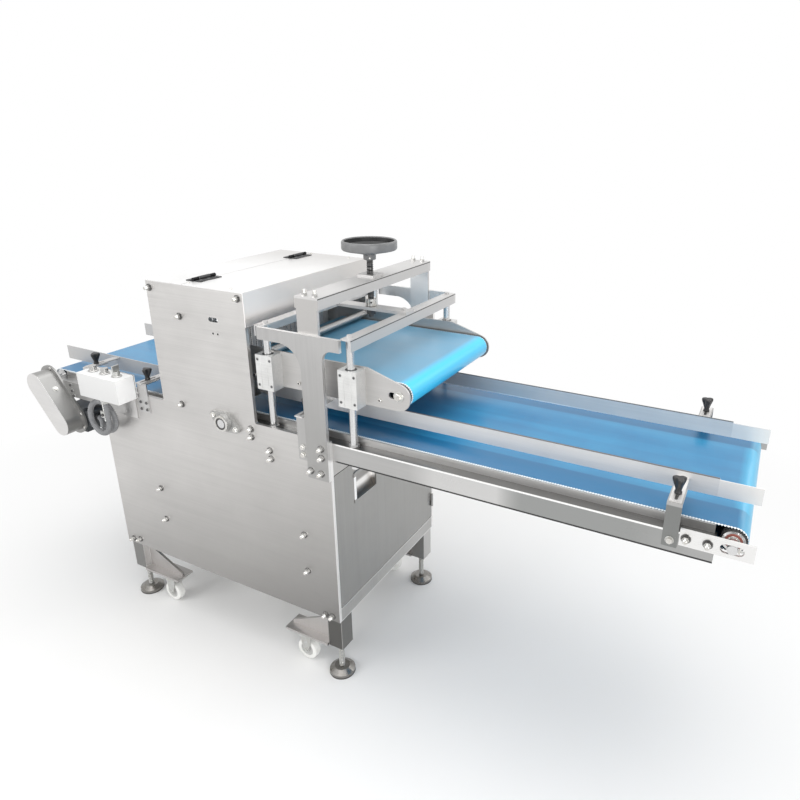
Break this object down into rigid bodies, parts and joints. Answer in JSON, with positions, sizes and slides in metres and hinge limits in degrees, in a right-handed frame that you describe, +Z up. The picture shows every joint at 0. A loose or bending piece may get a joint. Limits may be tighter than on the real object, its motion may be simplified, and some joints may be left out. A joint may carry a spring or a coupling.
{
  "type": "bread slicer machine",
  "caption": "Floor-standing belt bread slicer: infeed conveyor, screw-lifted press belt, tower with reciprocating blade frames, outfeed conveyor, cabinet on levelling feet and castors.",
  "frame": {"origin": "middle of the machine's footprint, on the floor under the levelling feet", "axes": "+X along the bread path towards the infeed end, +Y from the operator's side to the far side, +Z up"},
  "size_m": [2.186, 0.652, 1.252],
  "materials": {
    "plate_steel": "brushed stainless plate",
    "sheet_steel": "brushed stainless sheet",
    "bright_steel": "ground and polished steel",
    "cast_alloy": "machined aluminium",
    "zinc_steel": "zinc plated steel",
    "blue_belt": "smooth blue food belt",
    "white_plastic": "white sliding plastic",
    "white_paint": "white powder coat",
    "dark_paint": "dark grey paint",
    "black_plastic": "black moulded plastic",
    "dark_plastic": "dark grey moulded plastic",
    "black_rubber": "black rubber"
  },
  "bodies": {
    "frame": {"side_plate_near": "plate_steel", "side_plate_far": "plate_steel", "leg_frame": "sheet_steel", "levelling_feet": "zinc_steel", "castor_forks": "zinc_steel", "cabinet_panels": "sheet_steel", "tower_panels": "sheet_steel", "hinge_halves": "black_plastic", "tee_brackets": "plate_steel", "press_gantry": "sheet_steel", "conveyor_rails": "sheet_steel", "slider_beds": "sheet_steel", "conveyor_belts": "blue_belt", "flange_bearings": "cast_alloy", "guide_brackets": "sheet_steel", "drive_guard": "sheet_steel", "drive_motors": "dark_paint", "drive_belts": "black_rubber", "control_box": "white_paint", "conduit": "dark_plastic", "blade_guides": "white_plastic", "fasteners": "bright_steel"},
    "press_carriage": {"lift_posts": "bright_steel", "lift_bars": "sheet_steel", "press_side_plates": "plate_steel", "press_blocks": "cast_alloy", "press_belt": "blue_belt"},
    "lift_wheel": {"handwheel": "dark_plastic", "lift_screw": "zinc_steel"},
    "service_door": {"service_door": "sheet_steel"},
    "blade_cover": {"blade_cover": "sheet_steel"},
    "infeed_drive_roller": {"infeed_drive_roller": "bright_steel"},
    "infeed_tail_roller": {"infeed_tail_roller": "bright_steel"},
    "outfeed_drive_roller": {"outfeed_drive_roller": "bright_steel"},
    "motor_sprocket": {"motor_sprocket": "zinc_steel"},
    "guide_infeed_near": {"guide_infeed_near": "sheet_steel"},
    "guide_infeed_far": {"guide_infeed_far": "sheet_steel"},
    "guide_outfeed_near": {"guide_outfeed_near": "sheet_steel"},
    "guide_outfeed_far": {"guide_outfeed_far": "sheet_steel"},
    "press_roller_front": {"press_roller_front": "bright_steel"},
    "press_roller_rear": {"press_roller_rear": "bright_steel"},
    "blade_frame_front": {"blade_frame_front": "sheet_steel"},
    "blade_frame_rear": {"blade_frame_rear": "sheet_steel"},
    "crankshaft": {"crankshaft": "zinc_steel"},
    "motor_pulley": {"motor_pulley": "zinc_steel"},
    "start_button": {"start_button": "bright_steel"},
    "stop_button": {"stop_button": "bright_steel"},
    "speed_knob": {"speed_knob": "bright_steel"},
    "knob_infeed_near_outer": {"knob_infeed_near_outer": "black_plastic"},
    "knob_infeed_near_inner": {"knob_infeed_near_inner": "black_plastic"},
    "knob_infeed_far_outer": {"knob_infeed_far_outer": "black_plastic"},
    "knob_infeed_far_inner": {"knob_infeed_far_inner": "black_plastic"},
    "knob_outfeed_near_outer": {"knob_outfeed_near_outer": "black_plastic"},
    "knob_outfeed_near_inner": {"knob_outfeed_near_inner": "black_plastic"},
    "knob_outfeed_far_outer": {"knob_outfeed_far_outer": "black_plastic"},
    "knob_outfeed_far_inner": {"knob_outfeed_far_inner": "black_plastic"},
    "castor_wheel_near_in": {"castor_wheel_near_in": "white_plastic"},
    "castor_wheel_near_out": {"castor_wheel_near_out": "white_plastic"},
    "castor_wheel_far_in": {"castor_wheel_far_in": "white_plastic"},
    "castor_wheel_far_out": {"castor_wheel_far_out": "white_plastic"}
  },
  "joints": [
    {"name": "press_lift", "type": "slide", "parent": "frame", "child": "press_carriage", "axis": [0, 0, 1], "range_m": [-0.025, 0.03]},
    {"name": "handwheel_turn", "type": "hinge", "parent": "press_carriage", "child": "lift_wheel", "pos_m": [0.06, 0.024, 1.226], "axis": [0, 0, 1], "range_deg": [-1810, 2170]},
    {"name": "press_front_turn", "type": "hinge", "parent": "press_carriage", "child": "press_roller_front", "pos_m": [0.286, 0.024, 0.927], "axis": [0, 1, 0], "continuous": true},
    {"name": "press_rear_turn", "type": "hinge", "parent": "press_carriage", "child": "press_roller_rear", "pos_m": [-0.195, 0.024, 0.927], "axis": [0, 1, 0], "continuous": true},
    {"name": "crank_turn", "type": "hinge", "parent": "frame", "child": "crankshaft", "pos_m": [-0.335, 0.024, 0.43], "axis": [0, 1, 0], "range_deg": [-45, 45]},
    {"name": "blade_front_stroke", "type": "slide", "parent": "frame", "child": "blade_frame_front", "axis": [0, 0, 1], "range_m": [-0.018, 0.018]},
    {"name": "blade_rear_stroke", "type": "slide", "parent": "frame", "child": "blade_frame_rear", "axis": [0, 0, 1], "range_m": [-0.018, 0.018]},
    {"name": "motor_pulley_turn", "type": "hinge", "parent": "frame", "child": "motor_pulley", "pos_m": [-0.535, 0.024, 0.406], "axis": [0, 1, 0], "range_deg": [-113, 113]},
    {"name": "infeed_drive_turn", "type": "hinge", "parent": "frame", "child": "infeed_drive_roller", "pos_m": [-0.245, 0.024, 0.7695], "axis": [0, 1, 0], "continuous": true},
    {"name": "infeed_tail_turn", "type": "hinge", "parent": "frame", "child": "infeed_tail_roller", "pos_m": [1.052, 0.024, 0.7695], "axis": [0, 1, 0], "continuous": true},
    {"name": "outfeed_drive_turn", "type": "hinge", "parent": "frame", "child": "outfeed_drive_roller", "pos_m": [-1.035, 0.024, 0.7495], "axis": [0, 1, 0], "continuous": true},
    {"name": "motor_sprocket_turn", "type": "hinge", "parent": "frame", "child": "motor_sprocket", "pos_m": [-0.942, -0.256, 0.628], "axis": [0, 1, 0], "continuous": true},
    {"name": "blade_cover_hinge", "type": "hinge", "parent": "frame", "child": "blade_cover", "pos_m": [-0.352, 0.024, 1.1475], "axis": [0, -1, 0], "range_deg": [0, 95]},
    {"name": "service_door_hinge", "type": "hinge", "parent": "frame", "child": "service_door", "pos_m": [0.1095, 0.289, 0.47], "axis": [0, 0, 1], "range_deg": [0, 100]},
    {"name": "guide_infeed_near_slide", "type": "slide", "parent": "frame", "child": "guide_infeed_near", "axis": [0, 1, 0], "range_m": [-0.025, 0.025]},
    {"name": "guide_infeed_far_slide", "type": "slide", "parent": "frame", "child": "guide_infeed_far", "axis": [0, 1, 0], "range_m": [-0.025, 0.025]},
    {"name": "guide_outfeed_near_slide", "type": "slide", "parent": "frame", "child": "guide_outfeed_near", "axis": [0, 1, 0], "range_m": [-0.025, 0.025]},
    {"name": "guide_outfeed_far_slide", "type": "slide", "parent": "frame", "child": "guide_outfeed_far", "axis": [0, 1, 0], "range_m": [-0.025, 0.025]},
    {"name": "knob_infeed_near_outer_turn", "type": "hinge", "parent": "frame", "child": "knob_infeed_near_outer", "pos_m": [0.937, -0.211, 0.843], "axis": [0, 0, 1], "range_deg": [0, 180]},
    {"name": "knob_infeed_near_inner_turn", "type": "hinge", "parent": "frame", "child": "knob_infeed_near_inner", "pos_m": [0.021, -0.234, 0.843], "axis": [0, 0, 1], "range_deg": [0, 180]},
    {"name": "knob_infeed_far_outer_turn", "type": "hinge", "parent": "frame", "child": "knob_infeed_far_outer", "pos_m": [0.937, 0.259, 0.843], "axis": [0, 0, 1], "range_deg": [0, 180]},
    {"name": "knob_infeed_far_inner_turn", "type": "hinge", "parent": "frame", "child": "knob_infeed_far_inner", "pos_m": [0.021, 0.282, 0.843], "axis": [0, 0, 1], "range_deg": [0, 180]},
    {"name": "knob_outfeed_near_outer_turn", "type": "hinge", "parent": "frame", "child": "knob_outfeed_near_outer", "pos_m": [-0.839, -0.211, 0.826], "axis": [0, 0, 1], "range_deg": [0, 180]},
    {"name": "knob_outfeed_near_inner_turn", "type": "hinge", "parent": "frame", "child": "knob_outfeed_near_inner", "pos_m": [-0.575, -0.234, 0.826], "axis": [0, 0, 1], "range_deg": [0, 180]},
    {"name": "knob_outfeed_far_outer_turn", "type": "hinge", "parent": "frame", "child": "knob_outfeed_far_outer", "pos_m": [-0.839, 0.259, 0.826], "axis": [0, 0, 1], "range_deg": [0, 180]},
    {"name": "knob_outfeed_far_inner_turn", "type": "hinge", "parent": "frame", "child": "knob_outfeed_far_inner", "pos_m": [-0.575, 0.282, 0.826], "axis": [0, 0, 1], "range_deg": [0, 180]},
    {"name": "start_button_press", "type": "slide", "parent": "frame", "child": "start_button", "axis": [0, 0, 1], "range_m": [-0.003, 0], "stiffness_N_per_m": 400, "springref_m": 0.003},
    {"name": "stop_button_press", "type": "slide", "parent": "frame", "child": "stop_button", "axis": [0, 0, 1], "range_m": [-0.003, 0], "stiffness_N_per_m": 400, "springref_m": 0.003},
    {"name": "speed_knob_turn", "type": "hinge", "parent": "frame", "child": "speed_knob", "pos_m": [-0.6328, -0.2925, 0.857], "axis": [0, 0, 1], "range_deg": [-135, 135]},
    {"name": "castor_wheel_near_in_turn", "type": "hinge", "parent": "frame", "child": "castor_wheel_near_in", "pos_m": [-0.0453, -0.221, 0.037], "axis": [0, 1, 0], "continuous": true},
    {"name": "castor_wheel_near_out_turn", "type": "hinge", "parent": "frame", "child": "castor_wheel_near_out", "pos_m": [-0.6247, -0.221, 0.037], "axis": [0, 1, 0], "continuous": true},
    {"name": "castor_wheel_far_in_turn", "type": "hinge", "parent": "frame", "child": "castor_wheel_far_in", "pos_m": [-0.0453, 0.269, 0.037], "axis": [0, 1, 0], "continuous": true},
    {"name": "castor_wheel_far_out_turn", "type": "hinge", "parent": "frame", "child": "castor_wheel_far_out", "pos_m": [-0.6247, 0.269, 0.037], "axis": [0, 1, 0], "continuous": true}
  ],
  "couplings": [
    {"joint": "handwheel_turn", "follows": "press_lift", "rad_per_m": 1256.6},
    {"joint": "press_rear_turn", "follows": "press_front_turn", "ratio": 1},
    {"joint": "blade_front_stroke", "follows": "crank_turn", "m_per_rad": -0.0225},
    {"joint": "blade_rear_stroke", "follows": "crank_turn", "m_per_rad": 0.0225},
    {"joint": "motor_pulley_turn", "follows": "crank_turn", "ratio": 2.5},
    {"joint": "infeed_tail_turn", "follows": "infeed_drive_turn", "ratio": 1},
    {"joint": "motor_sprocket_turn", "follows": "outfeed_drive_turn", "ratio": 1}
  ]
}
